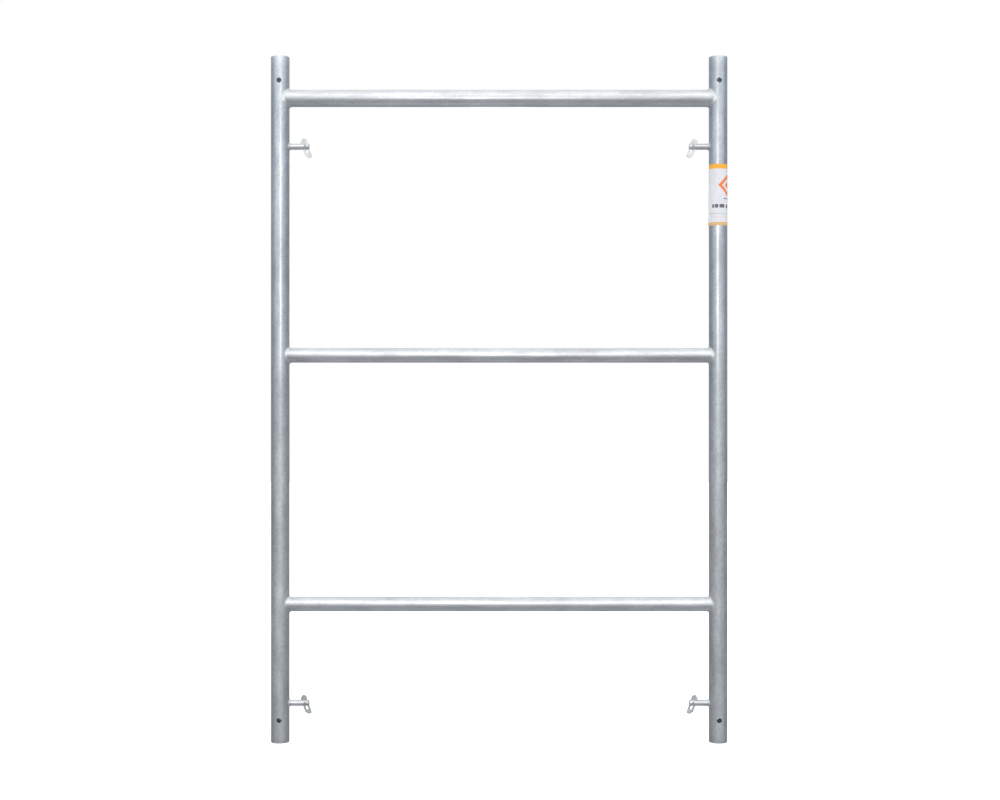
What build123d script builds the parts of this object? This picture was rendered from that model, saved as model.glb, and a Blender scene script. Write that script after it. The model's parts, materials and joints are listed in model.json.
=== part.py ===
from build123d import *
from math import radians, sin, cos
import os

# Frame scaffold section: two open-ended legs joined by three welded rails.
# Each leg carries two brace studs, and each stud has a gravity latch on a rivet.
# Millimetres, +Z up, +X to the right, +Y away from the viewer.
# The origin is on the ground, midway between the legs.

# Overall size
FRAME_HEIGHT = 1800.0
FRAME_WIDTH = 1200.0

# Legs
LEG_DIAMETER = 48.3
LEG_WALL = 2.6
PIN_HOLE_DIAMETER = 13.0
PIN_HOLE_HEIGHTS = (60.0, FRAME_HEIGHT - 65.0)
VENT_DIAMETER = 12.0
END_CHAMFER = 0.6
HOLE_ROUNDING = 0.6

# Rails: height of the axis, diameter, wall
RAILS = {
    "top": (1692.0, 44.5, 2.3),
    "middle": (1016.0, 38.1, 2.0),
    "bottom": (362.0, 38.1, 2.0),
}
RAIL_WELD_LEG = 4.8

# Brace studs, measured outwards from the leg's surface
STUD_HEIGHTS = {"upper": 1565.0, "lower": 102.0}
STUD_LENGTH = 52.0
STUD_DIAMETER = 16.0
STUD_ROOT_DIAMETER = 14.0
STUD_ROOT_LENGTH = 5.0
STUD_ROOT_DEPTH = 3.0
FORK_DIAMETER = 15.6
FORK_START = 28.5
STUD_TIP_CHAMFER = 1.0
SLOT_WIDTH = 4.6
SLOT_START = 10.0
# Turns the stud's seam line clear of the slot and of the rivet's hole
STUD_SEAM_ANGLE = 52.5
STUD_WELD_LEG = 3.5

# Rivet through the fork
RIVET_FROM_LEG = 42.0
RIVET_DIAMETER = 5.0
RIVET_HEAD_DIAMETER = 7.2
RIVET_HALF_LENGTH = 6.3
RIVET_DOME = 0.5
RIVET_CONE_START = 4.6
RIVET_CONE_END = 5.9
RIVET_CLEARANCE = 0.06

# Latch plate, measured from the rivet's axis
LATCH_WIDTH = 16.0
LATCH_THICKNESS = 4.0
LATCH_UP = 21.5
LATCH_DOWN = 30.5
LATCH_EDGE_BREAK = 0.4
LATCH_SLOT_WIDTH = 5.4
LATCH_SLOT_UP = 2.7
LATCH_SLOT_DOWN = 18.5
LATCH_TILT = 19.0
# Clipped corners as (across the plate, along it); inner is the side nearer the leg
LATCH_TOP_INNER = (7.2, 5.8)
LATCH_TOP_OUTER = (5.0, 4.2)
LATCH_BOTTOM_INNER = (7.0, 8.0)
LATCH_BOTTOM_OUTER = (1.0, 1.0)

# Size label on the right leg
LABEL_BOTTOM_Z = 1355.8
LABEL_TOP_Z = 1516.5
LABEL_THICKNESS = 0.3
LABEL_GAP_ANGLE = 58.0
LABEL_GAP_CENTRE = 161.0

# How far a cutting shape runs past what it cuts
OVERRUN = 5.0
# Length of leg and bar that a weld bead is shaped on
BEAD_STOCK = 60.0

# Derived sizes
LEG_RADIUS = LEG_DIAMETER / 2
LEG_X = FRAME_WIDTH / 2 - LEG_RADIUS
INNER_FACE_X = LEG_X - LEG_RADIUS

# The side factor turns a leg's inward direction into +X or -X
SIDES = {"left": 1, "right": -1}


def rod(radius, start, end):
    """A solid cylinder between two points."""
    axis = Vector(*end) - Vector(*start)
    body = Cylinder(radius, axis.length, align=(Align.CENTER, Align.CENTER, Align.MIN))
    return Plane(origin=Vector(*start), z_dir=axis) * body


def leg_bar(side, radius=LEG_RADIUS):
    """A solid bar on a leg's axis that runs past both of its ends."""
    x = -SIDES[side] * LEG_X
    return rod(radius, (x, 0, -OVERRUN), (x, 0, FRAME_HEIGHT + OVERRUN))


def make_leg(side):
    """Tube with open ends, a pin hole through both walls near each end, and rail vents."""
    x = -SIDES[side] * LEG_X
    leg = rod(LEG_RADIUS, (x, 0, 0), (x, 0, FRAME_HEIGHT))
    leg = chamfer(leg.edges().filter_by(GeomType.CIRCLE), END_CHAMFER)
    for z in PIN_HOLE_HEIGHTS:
        leg -= rod(PIN_HOLE_DIAMETER / 2, (x, -LEG_DIAMETER, z), (x, LEG_DIAMETER, z))
    rims = leg.edges().filter_by(GeomType.BSPLINE)
    leg = fillet(rims, HOLE_ROUNDING)
    leg -= leg_bar(side, LEG_RADIUS - LEG_WALL)
    for z, _, _ in RAILS.values():
        leg -= rod(VENT_DIAMETER / 2, (x, 0, z), (0, 0, z))
    return leg


def make_rail(name):
    """Tube whose ends are saddle-cut to sit on the legs."""
    z, diameter, wall = RAILS[name]
    rail = rod(diameter / 2, (-LEG_X, 0, z), (LEG_X, 0, z))
    rail -= rod(diameter / 2 - wall, (-LEG_X - OVERRUN, 0, z), (LEG_X + OVERRUN, 0, z))
    for side in SIDES:
        rail -= leg_bar(side)
    return rail


def fillet_bead(side, z, radius, size):
    """Bead that follows the saddle between a leg and a bar standing on its inner side."""
    inward = SIDES[side]
    x = -inward * LEG_X
    leg = rod(LEG_RADIUS, (x, 0, z - BEAD_STOCK), (x, 0, z + BEAD_STOCK))
    bar = rod(radius, (x, 0, z), (x + inward * BEAD_STOCK, 0, z))
    seam = (leg + bar).edges().filter_by(GeomType.BSPLINE)
    return chamfer(seam, size) - leg - bar


def make_rail_weld(side, name):
    """Fillet bead round a rail end."""
    z, diameter, _ = RAILS[name]
    return fillet_bead(side, z, diameter / 2, RAIL_WELD_LEG)


def stud_point(side, reach, z, y=0.0):
    """A point the given reach inwards from a leg's inner surface."""
    return (-SIDES[side] * (INNER_FACE_X - reach), y, z)


def make_stud(side, level):
    """Stub with a weld root, a plain seat for the brace eye, and a slotted fork."""
    z = STUD_HEIGHTS[level]
    seam = radians(STUD_SEAM_ANGLE)
    axis = Plane(
        origin=stud_point(side, 0, z),
        x_dir=(0, -sin(seam), cos(seam)),
        z_dir=(SIDES[side], 0, 0),
    )
    lengths = (
        (STUD_ROOT_DIAMETER, -STUD_ROOT_DEPTH, STUD_ROOT_LENGTH),
        (STUD_DIAMETER, STUD_ROOT_LENGTH, FORK_START),
        (FORK_DIAMETER, FORK_START, STUD_LENGTH - STUD_TIP_CHAMFER),
    )
    stud = None
    for diameter, start, end in lengths:
        piece = Pos(0, 0, start) * Cylinder(
            diameter / 2, end - start, align=(Align.CENTER, Align.CENTER, Align.MIN)
        )
        stud = piece if stud is None else stud + piece
    tip = Pos(0, 0, STUD_LENGTH - STUD_TIP_CHAMFER / 2) * Cone(
        FORK_DIAMETER / 2, FORK_DIAMETER / 2 - STUD_TIP_CHAMFER, STUD_TIP_CHAMFER
    )
    stud = axis * (stud + tip)
    stud -= leg_bar(side)
    slot_length = STUD_LENGTH + OVERRUN - SLOT_START
    slot = Box(slot_length, SLOT_WIDTH, STUD_DIAMETER + OVERRUN)
    stud -= Pos(*stud_point(side, SLOT_START + slot_length / 2, z)) * slot
    return stud - rivet_shape(side, level, RIVET_CLEARANCE, OVERRUN)


def make_stud_weld(side, level):
    """Fillet bead round a stud, with the weld metal that fills its narrower root."""
    z = STUD_HEIGHTS[level]
    bead = fillet_bead(side, z, FORK_DIAMETER / 2, STUD_WELD_LEG)
    root_end = stud_point(side, STUD_ROOT_LENGTH, z)
    filling = rod(FORK_DIAMETER / 2, stud_point(side, -STUD_ROOT_DEPTH, z), root_end)
    filling -= rod(STUD_ROOT_DIAMETER / 2, stud_point(side, -STUD_ROOT_DEPTH - OVERRUN, z), root_end)
    return bead + (filling - leg_bar(side))


def rivet_shape(side, level, grow=0.0, over_head=0.0):
    """Shank with a sunk head at each end; grow and over_head make the hole for it."""
    z = STUD_HEIGHTS[level]
    centre = stud_point(side, RIVET_FROM_LEG, z)
    shank = RIVET_DIAMETER / 2 + grow
    head = RIVET_HEAD_DIAMETER / 2 + grow
    end = RIVET_HALF_LENGTH + over_head
    profile = Polyline(
        (0, 0),
        (shank, 0),
        (shank, RIVET_CONE_START - grow),
        (head, RIVET_CONE_END - grow),
        (head, end),
        (0, end + RIVET_DOME),
        close=True,
    )
    half = revolve(Plane.XZ * make_face(profile), Axis.Z)
    rivet = half + mirror(half, about=Plane.XY)
    return Pos(*centre) * Rot(90, 0, 0) * rivet


def make_latch(side, level):
    """Flat plate with clipped corners and a long hole, hanging at its rest angle."""
    half = LATCH_WIDTH / 2
    outline = Polyline(
        (-half, -LATCH_DOWN + LATCH_BOTTOM_INNER[1]),
        (-half + LATCH_BOTTOM_INNER[0], -LATCH_DOWN),
        (half - LATCH_BOTTOM_OUTER[0], -LATCH_DOWN),
        (half, -LATCH_DOWN + LATCH_BOTTOM_OUTER[1]),
        (half, LATCH_UP - LATCH_TOP_OUTER[1]),
        (half - LATCH_TOP_OUTER[0], LATCH_UP),
        (-half + LATCH_TOP_INNER[0], LATCH_UP),
        (-half, LATCH_UP - LATCH_TOP_INNER[1]),
        close=True,
    )
    hole_length = LATCH_SLOT_UP + LATCH_SLOT_DOWN
    hole_centre = (LATCH_SLOT_UP - LATCH_SLOT_DOWN) / 2
    hole = Pos(0, hole_centre) * Rot(0, 0, 90) * SlotOverall(hole_length, LATCH_SLOT_WIDTH)
    plate = extrude(make_face(outline) - hole, LATCH_THICKNESS / 2, both=True)
    rims = plate.faces().filter_by(Axis.Z).edges()
    plate = chamfer(rims, LATCH_EDGE_BREAK)
    if side == "right":
        plate = mirror(plate, about=Plane.YZ)
    lean = SIDES[side] * radians(LATCH_TILT)
    hang = Plane(
        origin=stud_point(side, RIVET_FROM_LEG, STUD_HEIGHTS[level]),
        x_dir=(cos(lean), 0, sin(lean)),
        z_dir=(0, -1, 0),
    )
    return hang * plate


def make_label():
    """Thin film wrapped round the right leg, with a narrow gap at its seam."""
    height = LABEL_TOP_Z - LABEL_BOTTOM_Z
    radius = LEG_RADIUS + LABEL_THICKNESS
    start = LABEL_GAP_CENTRE + LABEL_GAP_ANGLE / 2
    wrap = Cylinder(
        radius,
        height,
        arc_size=360 - LABEL_GAP_ANGLE,
        align=(Align.NONE, Align.NONE, Align.MIN),
    )
    film = Pos(LEG_X, 0, LABEL_BOTTOM_Z) * Rot(0, 0, start) * wrap
    return film - leg_bar("right")


def save(node, shape):
    """Name the part and write it to its own file."""
    shape.label = node
    export_step(shape, f"parts/{node}.step")


os.makedirs("parts", exist_ok=True)

for rail_name in RAILS:
    save(f"{rail_name}_rail", make_rail(rail_name))

for side_name in SIDES:
    save(f"{side_name}_leg", make_leg(side_name))
    for rail_name in RAILS:
        save(f"{side_name}_{rail_name}_weld", make_rail_weld(side_name, rail_name))
    for level_name in STUD_HEIGHTS:
        place = f"{side_name}_{level_name}"
        save(f"{place}_stud", make_stud(side_name, level_name))
        save(f"{place}_stud_weld", make_stud_weld(side_name, level_name))
        save(f"{place}_rivet", rivet_shape(side_name, level_name))
        save(f"{place}_latch", make_latch(side_name, level_name))

save("size_label", make_label())
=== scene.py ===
import bpy
import bmesh
import json
import math
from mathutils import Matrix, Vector


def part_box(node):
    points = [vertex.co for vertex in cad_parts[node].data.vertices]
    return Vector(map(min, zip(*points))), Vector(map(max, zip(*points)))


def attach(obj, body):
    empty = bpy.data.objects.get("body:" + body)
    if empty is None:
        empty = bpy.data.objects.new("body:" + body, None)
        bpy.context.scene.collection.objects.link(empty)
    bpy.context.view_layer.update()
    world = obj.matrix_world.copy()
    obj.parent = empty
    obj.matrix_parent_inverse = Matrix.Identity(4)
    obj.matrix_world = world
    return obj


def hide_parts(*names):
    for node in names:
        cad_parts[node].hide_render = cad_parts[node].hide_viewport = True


# A galvanised steel scaffold frame. The legs, rails, weld beads and label are finer meshes made here, which
# replace their CAD nodes. The brace studs, latches and rivets are the CAD nodes with materials from here.
# Metres, +Z up, +X to the right, +Y away from the camera, with the ground at Z = 0.

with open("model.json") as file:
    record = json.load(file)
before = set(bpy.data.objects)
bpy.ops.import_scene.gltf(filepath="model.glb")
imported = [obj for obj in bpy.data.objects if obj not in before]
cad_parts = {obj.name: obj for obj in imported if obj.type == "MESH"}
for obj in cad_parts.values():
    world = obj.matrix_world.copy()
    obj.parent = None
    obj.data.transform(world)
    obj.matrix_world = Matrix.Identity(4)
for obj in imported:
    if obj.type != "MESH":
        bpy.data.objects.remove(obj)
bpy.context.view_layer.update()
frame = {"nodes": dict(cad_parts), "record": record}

# ---------------------------------------------------------------- sizes

MM = 0.001
MOUNTS = {mount["name"]: mount for mount in frame["record"]["mounts"]}

# Each side's way along X from its leg towards the middle
SIDES = {"left": 1, "right": -1}
RAILS = ("top", "middle", "bottom")
LEVELS = ("upper", "lower")

# Leg mesh: plain rows of points, with a finer square patch round each pin hole
LEG_SEGMENTS = 128
ROW_STEP = 0.03
PATCH = 11                      # half of a patch's width, in segments
PATCH_RINGS = 6                 # rings of points between a patch's edge and its hole
PATCH_CROWDING = 1.4            # above 1, those rings lie closer together near the hole
END_EASE = 0.7 * MM             # radius along both edges of a leg's ends
END_EASE_STEPS = 4
RIM_EASE = 0.6 * MM             # radius round the outer rim of a pin hole
RIM_EASE_STEPS = 5

# Rail mesh
RAIL_WALLS = {"top": 2.3 * MM, "middle": 2.0 * MM, "bottom": 2.0 * MM}
RAIL_SEGMENTS = 112
RAIL_STEPS = 60
RAIL_SINK = 0.3 * MM            # how far a rail's ends reach below the legs' surface

# Weld beads: how far each reaches along the leg and along the bar, and the pitch of its ripples
RAIL_BEAD = {"leg_reach": 4.6 * MM, "bar_reach": 5.6 * MM, "pitch": 2.6 * MM}
STUD_BEAD = {"leg_reach": 3.4 * MM, "bar_reach": 4.9 * MM, "pitch": 2.2 * MM}
# Any numbers that differ, so that no two beads are alike
RAIL_BEAD_SEEDS = {"left": (0, 1, 2), "right": (7, 8, 9)}
STUD_BEAD_SEEDS = {"left": (40, 41), "right": (43, 44)}
BEAD_AROUND = 560
BEAD_ACROSS = 10
BEAD_FULLNESS = 0.42            # 0 draws the face deeply hollow, and 1 draws it flat from toe to toe
BEAD_WANDER = 0.09              # unevenness of the toes, as a share of their reach
BEAD_SINK = 0.05 * MM           # how far the toes lie below the surfaces that they meet
BEAD_ROOT = 0.6 * MM            # how far the hidden back lies behind the seam
FEWEST_RIPPLES = 12
RIPPLE_HEIGHT = 0.040           # this and the swell are shares of the reach along the leg
RIPPLE_SWELL = 0.02
RIPPLE_CURVE = 0.55             # how far a ripple's ends trail its middle, in ripples
RIPPLE_DRIFT = 0.12             # unevenness of the ripples' spacing, in ripples
RIPPLE_ROUNDNESS = 0.7          # under 1, the ripples are fuller and the grooves between them narrower
TANGENT_STEP = 0.01             # radians each side of a point, to find the seam's direction there
# Waves in a turn and their sizes, which add up to a bead's unevenness, and what keeps them out of step
WOBBLE_WAVES = ((2, 0.45), (3, 0.3), (5, 0.25), (9, 0.18))
WOBBLE_OFFSET = 1.7
# Added to a bead's seed, so that its own four unevennesses differ
BAR_TOE_SEED, LEG_TOE_SEED, DRIFT_SEED, SWELL_SEED = 3, 5, 9, 1

# Label film round the right leg: angles in degrees, from +X round towards the back
LABEL_START = 190.0
LABEL_ARC = 302.0
LABEL_COLUMNS = 150
LABEL_ROWS = 60
FILM_GAP = 0.04 * MM
FILM_THICKNESS = 0.13 * MM
FILM_RIPPLE = 0.035 * MM
EDGE_LIFT = 2.5 * MM            # how far the film's front edge stands off the leg where it is loosest
EDGE_WIDTH = 0.075              # share of the film's width that lifts
EDGE_TOP = 0.72                 # share of the film's height below which it lifts
EDGE_FADE = 0.25                # share of its height over which the lift grows
EDGE_WAVE = 0.15                # unevenness of the lift, as a share of it
# Waves in the film: the rates are radians over its width or height, and the sway bends the ripples
EDGE_WAVE_RATE = 23
FILM_RIPPLE_RATE = 41
FILM_SWAY = 3
FILM_SWAY_RATE = 9

# Edges that bend more than this, in degrees, are shaded sharp
SHARP_ANGLE = 32.0
BEAD_SHARP_ANGLE = 60.0


# ---------------------------------------------------------------- mesh helpers

def make_piece(name, verts, faces, material, sharp=SHARP_ANGLE):
    """A smooth-shaded mesh from points and faces, riding on the frame's body."""
    mesh = bpy.data.meshes.new(name)
    mesh.from_pydata(verts, [], faces)
    editor = bmesh.new()
    editor.from_mesh(mesh)
    bmesh.ops.recalc_face_normals(editor, faces=editor.faces)
    for face in editor.faces:
        face.smooth = True
    editor.to_mesh(mesh)
    editor.free()
    mesh.set_sharp_from_angle(angle=math.radians(sharp))
    mesh.materials.append(material)
    piece = bpy.data.objects.new(name, mesh)
    bpy.context.scene.collection.objects.link(piece)
    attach(piece, "frame")
    return piece


def node_centre(name):
    lowest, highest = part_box(name)
    return (lowest + highest) / 2


def node_size(name):
    lowest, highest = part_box(name)
    return highest - lowest


def bridge(faces, ring_a, ring_b, closed=True):
    """Adds quads between two rings, or two open rows, of point numbers."""
    count = len(ring_a) if closed else len(ring_a) - 1
    for i in range(count):
        j = (i + 1) % len(ring_a)
        faces.append((ring_a[i], ring_a[j], ring_b[j], ring_b[i]))


# ---------------------------------------------------------------- legs

def leg_rows(height, holes, pitch):
    """Heights of a leg's rows of points, and the number of the first row of each pin hole's patch."""
    rows, patches = [], []
    z = END_EASE
    for hole in holes:
        low = hole - PATCH * pitch
        count = max(1, round((low - z) / ROW_STEP))
        rows += [z + (low - z) * k / count for k in range(count)]
        patches.append(len(rows))
        rows += [low + pitch * k for k in range(2 * PATCH)]
        z = low + pitch * 2 * PATCH
    top = height - END_EASE
    count = max(1, round((top - z) / ROW_STEP))
    rows += [z + (top - z) * k / count for k in range(count + 1)]
    return rows, patches


def leg_tube(side, material):
    """Open-ended tube with eased ends and a rounded pin hole through both walls at each end."""
    centre_x = node_centre(f"{side}_leg").x
    size = node_size(f"{side}_leg")
    height, outer = size.z, size.x / 2
    inner = MOUNTS[f"{side}_top_socket"]["dims"]["r_mm"] * MM
    hole_radius = MOUNTS[f"{side}_top_pin_hole"]["dims"]["r_mm"] * MM
    holes = [MOUNTS[f"{side}_{end}_pin_hole"]["pos_m"][2] for end in ("bottom", "top")]
    step = 2 * math.pi / LEG_SEGMENTS
    pitch = outer * math.sin(PATCH * step) / PATCH
    rows, patches = leg_rows(height, holes, pitch)
    # A patch's first column, by the way along Y that its wall faces
    quarter = LEG_SEGMENTS // 4
    columns = {-1: 3 * quarter - PATCH, 1: quarter - PATCH}
    verts, faces = [], []

    def add(x, y, z):
        verts.append((centre_x + x, y, z))
        return len(verts) - 1

    def in_patch(i, j, margin):
        """Whether column i and row j are in a patch, at least margin steps past its first edges."""
        for start in patches:
            for first in columns.values():
                across, along = (i - first) % LEG_SEGMENTS, j - start
                if margin <= across < 2 * PATCH and margin <= along < 2 * PATCH:
                    return True
        return False

    def wall(radius):
        """One wall of the tube, open at the patches; returns its point numbers by column and row."""
        grid = {}
        for j, z in enumerate(rows):
            for i in range(LEG_SEGMENTS):
                if not in_patch(i, j, 1):
                    grid[i, j] = add(radius * math.cos(i * step), radius * math.sin(i * step), z)
        for j in range(len(rows) - 1):
            for i in range(LEG_SEGMENTS):
                if not in_patch(i, j, 0):
                    k = (i + 1) % LEG_SEGMENTS
                    faces.append((grid[i, j], grid[k, j], grid[k, j + 1], grid[i, j + 1]))
        return grid

    def fill_patch(grid, radius, first, start, hole, facing, rim_radius):
        """Rings from a patch's square edge to a round rim; returns the rim's points and their angles."""
        last = 2 * PATCH
        edge = [(first + k, start) for k in range(last)]
        edge += [(first + last, start + k) for k in range(last)]
        edge += [(first + last - k, start + last) for k in range(last)]
        edge += [(first, start + last - k) for k in range(last)]
        ring = [grid[i % LEG_SEGMENTS, j] for i, j in edge]
        square = [(verts[v][0] - centre_x, verts[v][2] - hole) for v in ring]
        turns = [math.atan2(z, x) for x, z in square]
        for k in range(1, PATCH_RINGS + 1):
            share = 1 - (1 - k / PATCH_RINGS) ** PATCH_CROWDING
            inward = []
            for (edge_x, edge_z), turn in zip(square, turns):
                x = edge_x + (math.cos(turn) * rim_radius - edge_x) * share
                z = edge_z + (math.sin(turn) * rim_radius - edge_z) * share
                inward.append(add(x, facing * math.sqrt(radius**2 - x**2), hole + z))
            bridge(faces, ring, inward)
            ring = inward
        return ring, turns

    def ease_rim(ring, turns, hole, facing):
        """Rounds an outer rim over into its hole; returns the ring where the hole's side starts."""
        for k in range(1, RIM_EASE_STEPS + 1):
            bend = math.pi / 2 * k / RIM_EASE_STEPS
            reach = hole_radius + RIM_EASE * (1 - math.sin(bend))
            depth = RIM_EASE * (1 - math.cos(bend))
            inward = []
            for turn in turns:
                x = math.cos(turn) * reach
                y = facing * (math.sqrt(outer**2 - x**2) - depth)
                inward.append(add(x, y, hole + math.sin(turn) * reach))
            bridge(faces, ring, inward)
            ring = inward
        return ring

    def ease_end(row, end, way):
        """Closes a sawn end, rounding both its edges; way is 1 at the foot and -1 at the top."""
        bends = [math.pi / 2 * k / END_EASE_STEPS for k in range(END_EASE_STEPS + 1)]
        profile = [(outer - END_EASE * (1 - math.cos(bend)), end + way * END_EASE * (1 - math.sin(bend)))
                   for bend in bends[1:]]
        profile += [(inner + END_EASE * (1 - math.sin(bend)), end + way * END_EASE * (1 - math.cos(bend)))
                    for bend in bends[:-1]]
        ring = [outside[i, row] for i in range(LEG_SEGMENTS)]
        for radius, z in profile:
            inward = [add(radius * math.cos(i * step), radius * math.sin(i * step), z)
                      for i in range(LEG_SEGMENTS)]
            bridge(faces, ring, inward)
            ring = inward
        bridge(faces, ring, [inside[i, row] for i in range(LEG_SEGMENTS)])

    outside = wall(outer)
    inside = wall(inner)
    for start, hole in zip(patches, holes):
        for facing, first in columns.items():
            rim, turns = fill_patch(outside, outer, first, start, hole, facing, hole_radius + RIM_EASE)
            rim = ease_rim(rim, turns, hole, facing)
            back, _ = fill_patch(inside, inner, first, start, hole, facing, hole_radius)
            bridge(faces, rim, back)
    ease_end(0, 0.0, 1)
    ease_end(len(rows) - 1, height, -1)

    piece = make_piece(f"{side}_leg_tube", verts, faces, material)
    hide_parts(f"{side}_leg")


# ---------------------------------------------------------------- rails

def rail_tube(name, material):
    """Round tube with saddle ends that sit just below the surface of the legs."""
    centre_z = node_centre(f"{name}_rail").z
    outer = node_size(f"{name}_rail").z / 2
    leg_x = node_centre("right_leg").x
    leg_radius = node_size("right_leg").x / 2 - RAIL_SINK
    verts, faces, ends = [], [], []
    for radius in (outer, outer - RAIL_WALLS[name]):
        rings = []
        for k in range(RAIL_STEPS + 1):
            ring = []
            for i in range(RAIL_SEGMENTS):
                turn = 2 * math.pi * i / RAIL_SEGMENTS
                y, z = radius * math.cos(turn), radius * math.sin(turn)
                reach = leg_x - math.sqrt(leg_radius**2 - y**2)
                verts.append((reach * (2 * k / RAIL_STEPS - 1), y, centre_z + z))
                ring.append(len(verts) - 1)
            rings.append(ring)
        for ring_a, ring_b in zip(rings, rings[1:]):
            bridge(faces, ring_a, ring_b)
        ends.append((rings[0], rings[-1]))
    for outer_end, inner_end in zip(*ends):
        bridge(faces, outer_end, inner_end)
    piece = make_piece(f"{name}_rail_tube", verts, faces, material)
    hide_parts(f"{name}_rail")


# ---------------------------------------------------------------- weld beads

def wobble(share, seed):
    """A smooth unevenness round a bead, roughly between -1 and 1, for a share of a turn."""
    total = 0.0
    for count, size in WOBBLE_WAVES:
        total += size * math.sin(2 * math.pi * count * share + seed * (count + WOBBLE_OFFSET))
    return total


def weld_bead(weld, bar_radius, leg_reach, bar_reach, pitch, seed, material):
    """Rippled bead along the saddle where a bar meets a leg."""
    side = weld.split("_")[0]
    inward = SIDES[side]
    centre_z = node_centre(weld).z
    leg = node_centre(f"{side}_leg")
    leg_radius = node_size(f"{side}_leg").x / 2
    ripples = max(FEWEST_RIPPLES, round(2 * math.pi * bar_radius / pitch))
    verts, faces, rings = [], [], []

    def seam(turn):
        """A point of the seam, from the leg's axis at the bar's height, with the bar along +X."""
        y, z = bar_radius * math.cos(turn), bar_radius * math.sin(turn)
        return Vector((math.sqrt(leg_radius**2 - y**2), y, z))

    def onto_leg(point):
        flat = Vector((point.x, point.y, 0)).normalized() * (leg_radius - BEAD_SINK)
        return Vector((flat.x, flat.y, point.z))

    def onto_bar(point):
        flat = Vector((0, point.y, point.z)).normalized() * (bar_radius - BEAD_SINK)
        return Vector((point.x, flat.y, flat.z))

    for k in range(BEAD_AROUND):
        share = k / BEAD_AROUND
        turn = 2 * math.pi * share
        root = seam(turn)
        tangent = (seam(turn + TANGENT_STEP) - seam(turn - TANGENT_STEP)).normalized()
        leg_normal = Vector((root.x, root.y, 0)).normalized()
        bar_normal = Vector((0, root.y, root.z)).normalized()
        outward = (leg_normal + bar_normal).normalized()
        along_bar = Vector((1, 0, 0))
        along_leg = leg_normal.cross(tangent).normalized()
        if along_leg.dot(bar_normal) < 0:
            along_leg = -along_leg
        bar_wander = 1 + BEAD_WANDER * wobble(share, seed + BAR_TOE_SEED)
        leg_wander = 1 + BEAD_WANDER * wobble(share, seed + LEG_TOE_SEED)
        toe_bar = onto_bar(root + along_bar * bar_reach * bar_wander)
        toe_leg = onto_leg(root + along_leg * leg_reach * leg_wander)
        crown = root.lerp((toe_leg + toe_bar) / 2, BEAD_FULLNESS)
        drift = RIPPLE_DRIFT * wobble(share, seed + DRIFT_SEED)
        swell = RIPPLE_SWELL * wobble(share, seed + SWELL_SEED)
        section = []
        for i in range(BEAD_ACROSS + 1):
            across = i / BEAD_ACROSS
            arch = 4 * across * (1 - across)
            phase = ripples * share + RIPPLE_CURVE * (2 * across - 1) ** 2 + drift
            scallop = abs(math.sin(math.pi * phase)) ** RIPPLE_ROUNDNESS
            lift = leg_reach * arch * (RIPPLE_HEIGHT * scallop + swell)
            face = toe_leg * (1 - across) ** 2 + crown * (2 * across * (1 - across)) + toe_bar * across**2
            section.append(face + outward * lift)
        section.append(root - outward * BEAD_ROOT)
        start = len(verts)
        verts += [(leg.x + inward * point.x, point.y, centre_z + point.z) for point in section]
        rings.append(list(range(start, len(verts))))
    for k in range(BEAD_AROUND):
        bridge(faces, rings[k], rings[(k + 1) % BEAD_AROUND])
    piece = make_piece(f"{weld}_bead", verts, faces, material, sharp=BEAD_SHARP_ANGLE)
    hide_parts(weld)


# ---------------------------------------------------------------- label

def film_stand_off(u, v):
    """How far the film's inner face stands off the leg, at shares u of its width and v of its height."""
    near_edge = max(0.0, 1 - u / EDGE_WIDTH)
    low = min(1.0, max(0.0, (EDGE_TOP - v) / EDGE_FADE))
    lift = EDGE_LIFT * near_edge**2 * low * low * (3 - 2 * low)
    lift *= 1 + EDGE_WAVE * math.sin(v * EDGE_WAVE_RATE)
    ripple = FILM_RIPPLE * (1 + math.sin(u * FILM_RIPPLE_RATE + FILM_SWAY * math.sin(v * FILM_SWAY_RATE)))
    return FILM_GAP + lift + ripple


def label_wrap(material):
    """Printed film round the right leg, with its front edge lifting lower down."""
    lowest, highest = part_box("size_label")
    leg_x = node_centre("right_leg").x
    leg_radius = node_size("right_leg").x / 2
    verts, faces, coords, grids = [], [], [], []
    for thickness in (0.0, FILM_THICKNESS):
        grid = []
        for j in range(LABEL_ROWS + 1):
            v = j / LABEL_ROWS
            z = lowest.z + (highest.z - lowest.z) * v
            row = []
            for i in range(LABEL_COLUMNS + 1):
                u = i / LABEL_COLUMNS
                turn = math.radians(LABEL_START + LABEL_ARC * u)
                radius = leg_radius + film_stand_off(u, v) + thickness
                verts.append((leg_x + radius * math.cos(turn), radius * math.sin(turn), z))
                coords.append((u, v))
                row.append(len(verts) - 1)
            grid.append(row)
        for row_a, row_b in zip(grid, grid[1:]):
            bridge(faces, row_a, row_b, closed=False)
        grids.append(grid)
    inner, outer = grids
    for end in (0, -1):
        bridge(faces, inner[end], outer[end], closed=False)
    for end in (0, -1):
        bridge(faces, [row[end] for row in inner], [row[end] for row in outer], closed=False)
    piece = make_piece("size_label_film", verts, faces, material)
    print_map = piece.data.uv_layers.new(name="print")
    for loop in piece.data.loops:
        print_map.data[loop.index].uv = coords[loop.vertex_index]
    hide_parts("size_label")


# ---------------------------------------------------------------- shader helpers

# A Mix node's sockets by number, because their names repeat: share, first, second, result
MIX_SOCKETS = {"RGBA": (0, 6, 7, 2), "VECTOR": (0, 4, 5, 1)}


def feed(tree, socket, value):
    """Links another node's output to a socket, or sets the socket to a plain value."""
    if isinstance(value, bpy.types.NodeSocket):
        tree.links.new(value, socket)
    elif isinstance(value, tuple) and socket.type == "RGBA":
        socket.default_value = (*value, 1.0)
    else:
        socket.default_value = value


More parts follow.
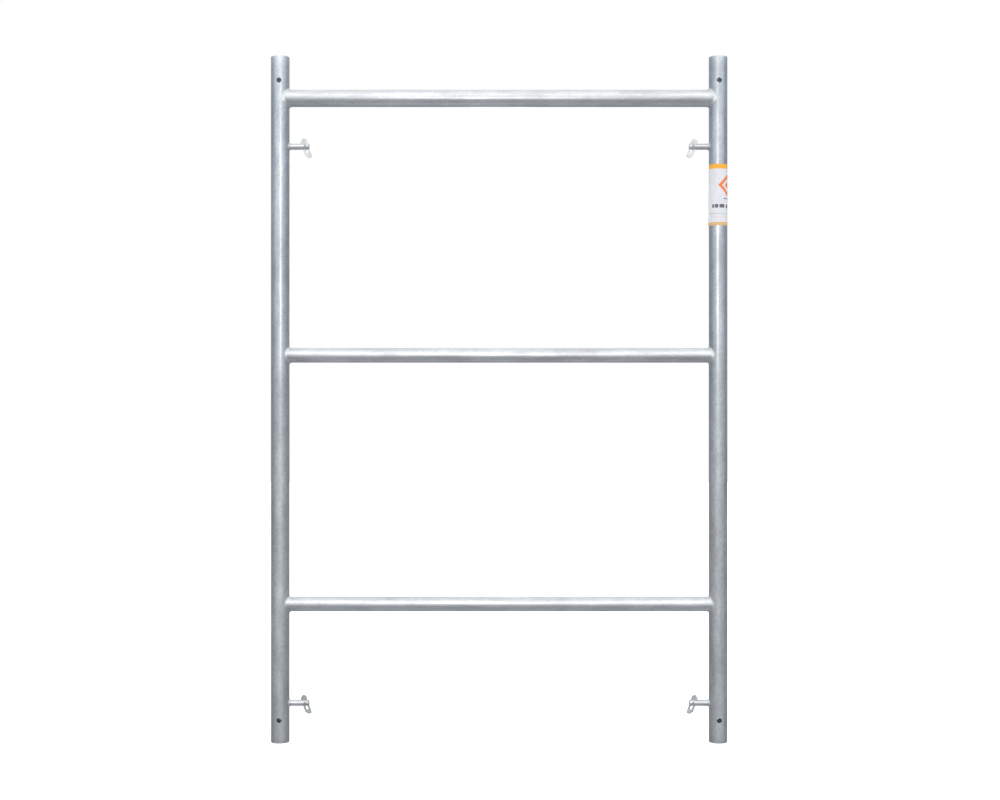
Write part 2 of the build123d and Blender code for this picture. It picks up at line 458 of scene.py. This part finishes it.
def node(tree, kind, inputs=None, **settings):
    """A shader node with its settings, and with its inputs by name."""
    made = tree.nodes.new(kind)
    for key, value in settings.items():
        setattr(made, key, value)
    for name, value in (inputs or {}).items():
        feed(tree, made.inputs[name], value)
    return made


def calculate(tree, operation, *values):
    made = node(tree, "ShaderNodeMath", operation=operation)
    for socket, value in zip(made.inputs, values):
        feed(tree, socket, value)
    return made.outputs["Value"]


def scaled(tree, value, factor):
    return calculate(tree, "MULTIPLY", value, factor)


def add_up(tree, *values):
    total = values[0]
    for value in values[1:]:
        total = calculate(tree, "ADD", total, value)
    return total


def mix(tree, share, first, second, data_type="RGBA", blend_type="MIX"):
    made = node(tree, "ShaderNodeMix", data_type=data_type, blend_type=blend_type)
    *sockets, result = MIX_SOCKETS[data_type]
    for socket, value in zip(sockets, (share, first, second)):
        feed(tree, made.inputs[socket], value)
    return made.outputs[result]


def ramp(tree, source, stops):
    """A colour ramp from stops of a position and a grey value or colour."""
    made = node(tree, "ShaderNodeValToRGB", {"Fac": source})
    elements = made.color_ramp.elements
    while len(elements) < len(stops):
        elements.new(0.5)
    for element, (position, value) in zip(elements, stops):
        element.position = position
        colour = value if isinstance(value, tuple) else (value, value, value)
        element.color = (*colour, 1.0)
    return made.outputs["Color"]


def noise(tree, where, scale, detail, roughness=0.5):
    return node(tree, "ShaderNodeTexNoise",
                {"Vector": where, "Scale": scale, "Detail": detail, "Roughness": roughness})


def new_material(name):
    material = bpy.data.materials.new(name)
    material.use_nodes = True
    material.node_tree.nodes.clear()
    return material


def add_surface(tree, inputs):
    """The principled shader with its inputs, joined to the material's output."""
    shader = node(tree, "ShaderNodeBsdfPrincipled", inputs)
    node(tree, "ShaderNodeOutputMaterial", {"Surface": shader.outputs["BSDF"]})


# ---------------------------------------------------------------- galvanised steel

PATCH_SHADES = ((0.30, 0.80), (0.52, 1.0), (0.74, 1.16))    # value of the noise, and shade of the tint
RUN_SHADES = ((0.35, 0.93), (0.65, 1.05))
FLAKE_DARKER, FLAKE_LIGHTER = 0.13, 0.09
FLAKE_BEND = 0.012              # share of warping that makes the flakes' edges uneven
FLAKE_GLOSS = 0.05              # this and the patch gloss are spreads of roughness
PATCH_GLOSS = 0.16
PATCH_RELIEF, RUN_RELIEF, FLAKE_RELIEF = 0.7, 0.35, 0.05
RELIEF_STRENGTH = 0.35
RELIEF_DEPTH = 0.6 * MM
DULL_AND_SHADE_WANDER = 0.25              # unevenness of the height where the duller zinc and its painted shade start, in metres


def galvanised(name, tint, stretch=(1.0, 1.0, 1.0), rough=0.34, spangle=1.0, bump=1.0, metallic=0.92,
               dull=None):
    """Hot-dip zinc: a soft spangle, lighter and darker patches, and fine runs.

    A stretch under 1 along an axis draws the patches and runs out along it. With the settings for the low
    zinc, the zinc turns, going down from their "above" height to their "below" height in metres, rougher
    and darker to their "shade" times its colour: duller zinc, with painted shade in the darkening.
    """
    material = new_material(name)
    tree = material.node_tree
    where = node(tree, "ShaderNodeTexCoord").outputs["Object"]
    stretched = node(tree, "ShaderNodeMapping", {"Vector": where, "Scale": stretch}).outputs["Vector"]

    warp = noise(tree, where, scale=90.0, detail=3.0)
    bent = mix(tree, FLAKE_BEND, where, warp.outputs["Color"], data_type="VECTOR")
    cells = node(tree, "ShaderNodeTexVoronoi", {"Vector": bent, "Scale": 210.0, "Randomness": 1.0},
                 feature="F1")
    # Three unrelated values for each flake of the spangle
    flake = node(tree, "ShaderNodeSeparateColor", {"Color": cells.outputs["Color"]}).outputs
    patches = noise(tree, stretched, scale=26.0, detail=5.0, roughness=0.62).outputs["Fac"]
    runs = noise(tree, stretched, scale=75.0, detail=4.0).outputs["Fac"]

    colour = ramp(tree, patches, [(at, tuple(part * shade for part in tint)) for at, shade in PATCH_SHADES])
    flake_shade = ramp(tree, flake["Red"],
                       ((0.0, 1 - FLAKE_DARKER * spangle), (1.0, 1 + FLAKE_LIGHTER * spangle)))
    colour = mix(tree, 1.0, colour, flake_shade, blend_type="MULTIPLY")
    colour = mix(tree, 1.0, colour, ramp(tree, runs, RUN_SHADES), blend_type="MULTIPLY")

    middle = PATCH_GLOSS / 2
    # Lower down, the zinc turns rougher, which is duller zinc, and its colour darker, which is painted
    # shade
    if dull:
        z = node(tree, "ShaderNodeSeparateXYZ", {"Vector": where}).outputs["Z"]
        level = add_up(tree, z, scaled(tree, warp.outputs["Fac"], DULL_AND_SHADE_WANDER))
        dulled = node(tree, "ShaderNodeMapRange",
                      {"Value": level, "From Min": dull["below"], "From Max": dull["above"],
                       "To Min": 1.0, "To Max": 0.0}, interpolation_type="SMOOTHSTEP").outputs["Result"]
        darker = ramp(tree, dulled, ((0.0, 1.0), (1.0, dull["shade"])))
        colour = mix(tree, 1.0, colour, darker, blend_type="MULTIPLY")
        middle = add_up(tree, scaled(tree, dulled, dull["rougher"]), middle)

    roughness = add_up(tree, scaled(tree, flake["Green"], FLAKE_GLOSS * spangle),
                       scaled(tree, patches, -PATCH_GLOSS), middle, rough)
    height = add_up(tree, scaled(tree, patches, PATCH_RELIEF), scaled(tree, runs, RUN_RELIEF),
                    scaled(tree, flake["Blue"], FLAKE_RELIEF * spangle))
    relief = node(tree, "ShaderNodeBump",
                  {"Height": height, "Strength": RELIEF_STRENGTH * bump, "Distance": RELIEF_DEPTH})
    add_surface(tree, {"Base Color": colour, "Metallic": metallic, "Roughness": roughness,
                       "Normal": relief.outputs["Normal"]})
    return material


# ---------------------------------------------------------------- label print

# Layout in millimetres, from the film's front edge and its bottom; a bar is its start and its width
PRINT_WIDTH, PRINT_HEIGHT = 128.0, 160.7
TOP_STRIPE_FROM = 148.4
BOTTOM_STRIPE_TO = 8.6
DIAMOND_CENTRE = (59.5, 105.5)
DIAMOND_RING = (18.5, 29.0)
DIAMOND_CORE = 9.5
CAPTION_LINE = (69.0, 71.5)
CAPTION_BARS = ((46, 8), (56, 13), (71, 6))
WORD_LINE = (46.0, 55.5)
WORD_BARS = ((14, 6), (22, 9), (34, 14), (54, 7), (63, 12), (78, 9), (90, 6), (99, 14))
RULE_LINE = (29.4, 31.6)
RULE_BARS = ((3, 122),)
PINK_LINE = (21.4, 23.4)
PINK_BARS = ((16, 22), (41, 15), (59, 26), (88, 22))

PAPER_SHADES = ((0.35, (0.635, 0.65, 0.69)), (0.7, (0.70, 0.715, 0.745)))
INK = (0.13, 0.125, 0.155)
PINK_INK = (0.74, 0.57, 0.64)
RULE_INK = (0.50, 0.505, 0.52)
DIAMOND_INK = (0.78, 0.205, 0.06)
TOP_STRIPE_INK = (0.86, 0.40, 0.045)
BOTTOM_STRIPE_INK = (0.66, 0.425, 0.19)


def label_print(name):
    """White film with orange stripes, a plain diamond and plain bars in place of words."""
    material = new_material(name)
    tree = material.node_tree
    uv = node(tree, "ShaderNodeUVMap", uv_map="print").outputs["UV"]
    split = node(tree, "ShaderNodeSeparateXYZ", {"Vector": uv}).outputs
    across = scaled(tree, split["X"], PRINT_WIDTH)
    up = scaled(tree, split["Y"], PRINT_HEIGHT)

    def band(value, low, high):
        above = calculate(tree, "GREATER_THAN", value, low)
        below = calculate(tree, "LESS_THAN", value, high)
        return calculate(tree, "MULTIPLY", above, below)

    def either(masks):
        total = masks[0]
        for mask in masks[1:]:
            total = calculate(tree, "MAXIMUM", total, mask)
        return total

    def bars(starts_and_widths, line):
        return [calculate(tree, "MULTIPLY", band(across, start, start + width), band(up, *line))
                for start, width in starts_and_widths]

    offsets = [calculate(tree, "ABSOLUTE", calculate(tree, "SUBTRACT", value, middle))
               for value, middle in zip((across, up), DIAMOND_CENTRE)]
    distance = add_up(tree, *offsets)
    diamond = either([band(distance, *DIAMOND_RING), calculate(tree, "LESS_THAN", distance, DIAMOND_CORE)])
    printed = (
        (either(bars(WORD_BARS, WORD_LINE) + bars(CAPTION_BARS, CAPTION_LINE)), INK),
        (either(bars(PINK_BARS, PINK_LINE)), PINK_INK),
        (either(bars(RULE_BARS, RULE_LINE)), RULE_INK),
        (diamond, DIAMOND_INK),
        (calculate(tree, "GREATER_THAN", up, TOP_STRIPE_FROM), TOP_STRIPE_INK),
        (calculate(tree, "LESS_THAN", up, BOTTOM_STRIPE_TO), BOTTOM_STRIPE_INK),
    )
    colour = ramp(tree, noise(tree, uv, scale=9.0, detail=4.0).outputs["Fac"], PAPER_SHADES)
    for mask, ink in printed:
        colour = mix(tree, mask, colour, ink)
    add_surface(tree, {"Base Color": colour, "Roughness": 0.42, "Specular IOR Level": 0.4})
    return material


# ---------------------------------------------------------------- pieces and their materials

# The legs darken towards the bottom, which is painted shade, and turn rougher there, which is duller zinc
leg_zinc = galvanised(
    "leg_zinc", tint=(0.745, 0.788, 0.835), stretch=(1.0, 1.0, 0.22), rough=0.32, spangle=0.7, bump=0.45,
    dull={"below": 0.75, "above": 1.35, "shade": (0.925, 0.905, 0.885), "rougher": 0.10})
rail_zinc = galvanised(
    "rail_zinc", tint=(0.785, 0.812, 0.845), stretch=(0.22, 1.0, 1.0), spangle=0.4, bump=0.16)
weld_zinc = galvanised(
    "weld_zinc", tint=(0.73, 0.77, 0.81), rough=0.36, spangle=0.3, bump=0.3)
stud_zinc = galvanised(
    "stud_zinc", tint=(0.80, 0.82, 0.85), stretch=(0.6, 1.0, 1.0), spangle=0.3, bump=0.4)
# The upper latches get a lighter copy of the zinc and the lower ones a darker copy: painted light and
# painted shade
latch_zinc = {
    "upper": galvanised(
        "latch_zinc_bright", tint=(0.80, 0.83, 0.85), rough=0.42, spangle=0.3, metallic=0.85),
    "lower": galvanised(
        "latch_zinc_dull", tint=(0.66, 0.69, 0.70), rough=0.46, spangle=0.3, metallic=0.85),
}
rivet_zinc = {
    "upper": galvanised(
        "rivet_zinc_grey", tint=(0.50, 0.50, 0.50), rough=0.55, spangle=0.2, metallic=0.7),
    "lower": galvanised(
        "rivet_zinc_rusty", tint=(0.50, 0.42, 0.40), rough=0.55, spangle=0.2, metallic=0.7),
}
label_film = label_print("label_film_print")

for side in SIDES:
    leg_tube(side, leg_zinc)
for rail in RAILS:
    rail_tube(rail, rail_zinc)
for side in SIDES:
    for rail, seed in zip(RAILS, RAIL_BEAD_SEEDS[side]):
        radius = node_size(f"{rail}_rail").z / 2
        weld_bead(f"{side}_{rail}_weld", radius, **RAIL_BEAD, seed=seed, material=weld_zinc)
    for level, seed in zip(LEVELS, STUD_BEAD_SEEDS[side]):
        radius = node_size(f"{side}_{level}_stud").z / 2
        weld_bead(f"{side}_{level}_stud_weld", radius, **STUD_BEAD, seed=seed, material=weld_zinc)
label_wrap(label_film)

for side in SIDES:
    for level in LEVELS:
        finishes = {"stud": stud_zinc, "latch": latch_zinc[level], "rivet": rivet_zinc[level]}
        for kind, material in finishes.items():
            cad = frame["nodes"][f"{side}_{level}_{kind}"]
            cad.data.materials.clear()
            cad.data.materials.append(material)

# ---------------------------------------------------------------- floor, light and camera

WHITE = (1.0, 1.0, 1.0)
FLOOR_REACH = 12.0
FLOOR_GREY = (0.85, 0.85, 0.85)
LAMP_AIM = (0.0, 0.0, 1.25)

# Light on the object by a direction's height: 0 is straight down, 0.5 level and 1 straight up
SKY = ((0.0, (0.365, 0.38, 0.40)), (0.10, (0.27, 0.28, 0.295)), (0.25, (0.277, 0.29, 0.306)),
       (0.42, (0.248, 0.27, 0.292)), (0.50, (0.235, 0.265, 0.298)), (0.60, (0.312, 0.36, 0.405)),
       (0.75, 0.78), (0.845, 0.97), (0.925, 1.12), (1.0, 1.22))
# More light from the camera's side, by the same heights
FRONT_GLOW = ((0.0, 0.0), (0.10, 0.0), (0.20, 0.04), (0.30, 0.12), (0.40, 0.23), (0.50, 0.56),
              (0.60, 0.79), (0.70, 0.95), (0.80, (1.28, 1.23, 1.15)), (0.88, (1.40, 1.33, 1.24)),
              (0.95, 0.6), (1.0, 0.0))
GLOW_NARROWING = 1.4            # above 1 draws that light in towards the middle of the camera's side
LIGHT_STRENGTH = 0.8


def lamp(name, place, target, size, power, colour=WHITE):
    """A soft rectangular lamp, aimed at a target and not seen by the camera."""
    data = bpy.data.lights.new(name, "AREA")
    data.shape = "RECTANGLE"
    data.size, data.size_y = size
    data.energy = power
    data.color = colour
    made = bpy.data.objects.new(name, data)
    bpy.context.scene.collection.objects.link(made)
    made.location = place
    made.rotation_euler = (Vector(target) - Vector(place)).to_track_quat("-Z", "Y").to_euler()
    made.visible_camera = False


def lay_floor():
    """A pale floor that glows softly, so that it stays pale to the edge of the picture."""
    mesh = bpy.data.meshes.new("floor")
    corners = [(x * FLOOR_REACH, y * FLOOR_REACH, 0) for x, y in ((-1, -1), (1, -1), (1, 1), (-1, 1))]
    mesh.from_pydata(corners, [], [(0, 1, 2, 3)])
    material = new_material("floor_pale")
    add_surface(material.node_tree, {"Base Color": FLOOR_GREY, "Roughness": 0.9, "Specular IOR Level": 0.0,
                                     "Emission Color": WHITE, "Emission Strength": 0.75})
    mesh.materials.append(material)
    floor = bpy.data.objects.new("floor", mesh)
    bpy.context.scene.collection.objects.link(floor)
    floor.visible_glossy = False


def light_lamps():
    """Tall lamps in front and behind for the streaks down the legs, and a cool one outside each leg."""
    lamp("streak", place=(0.0, -2.6, 1.53), target=LAMP_AIM, size=(0.05, 0.9), power=4.5,
         colour=(1.0, 0.94, 0.87))
    lamp("streak_behind", place=(0.0, 5.3, 1.72), target=LAMP_AIM, size=(0.5, 1.4), power=7.0)
    for way in (-1, 1):
        lamp("cool_side", place=(way * 1.55, -0.62, 2.32), target=(way * 0.576, 0.0, 1.9), size=(0.5, 0.5),
             power=0.31, colour=(0.12, 0.50, 1.0))


def light_studio():
    """A world that looks white to the camera and lights the object from a graded sky."""
    world = bpy.data.worlds.new("studio")
    bpy.context.scene.world = world
    world.use_nodes = True
    tree = world.node_tree
    tree.nodes.clear()
    direction = node(tree, "ShaderNodeTexCoord").outputs["Generated"]
    split = node(tree, "ShaderNodeSeparateXYZ", {"Vector": direction}).outputs
    height = add_up(tree, scaled(tree, split["Z"], 0.5), 0.5)
    front = calculate(tree, "MAXIMUM", scaled(tree, split["Y"], -1.0), 0.0)
    front = calculate(tree, "POWER", front, GLOW_NARROWING)
    glow = mix(tree, 1.0, ramp(tree, height, FRONT_GLOW), front, blend_type="MULTIPLY")
    light = mix(tree, 1.0, ramp(tree, height, SKY), glow, blend_type="ADD")
    lit = node(tree, "ShaderNodeBackground", {"Color": light, "Strength": LIGHT_STRENGTH})
    seen = node(tree, "ShaderNodeBackground", {"Color": WHITE, "Strength": 1.0})
    from_camera = node(tree, "ShaderNodeLightPath").outputs["Is Camera Ray"]
    both = node(tree, "ShaderNodeMixShader", {"Fac": from_camera})
    tree.links.new(lit.outputs["Background"], both.inputs[1])
    tree.links.new(seen.outputs["Background"], both.inputs[2])
    node(tree, "ShaderNodeOutputWorld", {"Surface": both.outputs["Shader"]})


def place_camera():
    """A level camera in front of the frame's middle, and a plain view of its colours."""
    scene = bpy.context.scene
    scene.view_settings.view_transform = "Standard"
    scene.view_settings.look = "None"
    data = bpy.data.cameras.new("camera")
    data.sensor_width = 36.0
    data.lens = 52.0
    data.clip_start = 0.05
    data.clip_end = 60.0
    camera = bpy.data.objects.new("camera", data)
    scene.collection.objects.link(camera)
    camera.location = (0.0022, -3.8, 0.8987)
    camera.rotation_euler = (math.pi / 2, 0, 0)
    scene.camera = camera


lay_floor()
light_lamps()
light_studio()
place_camera()
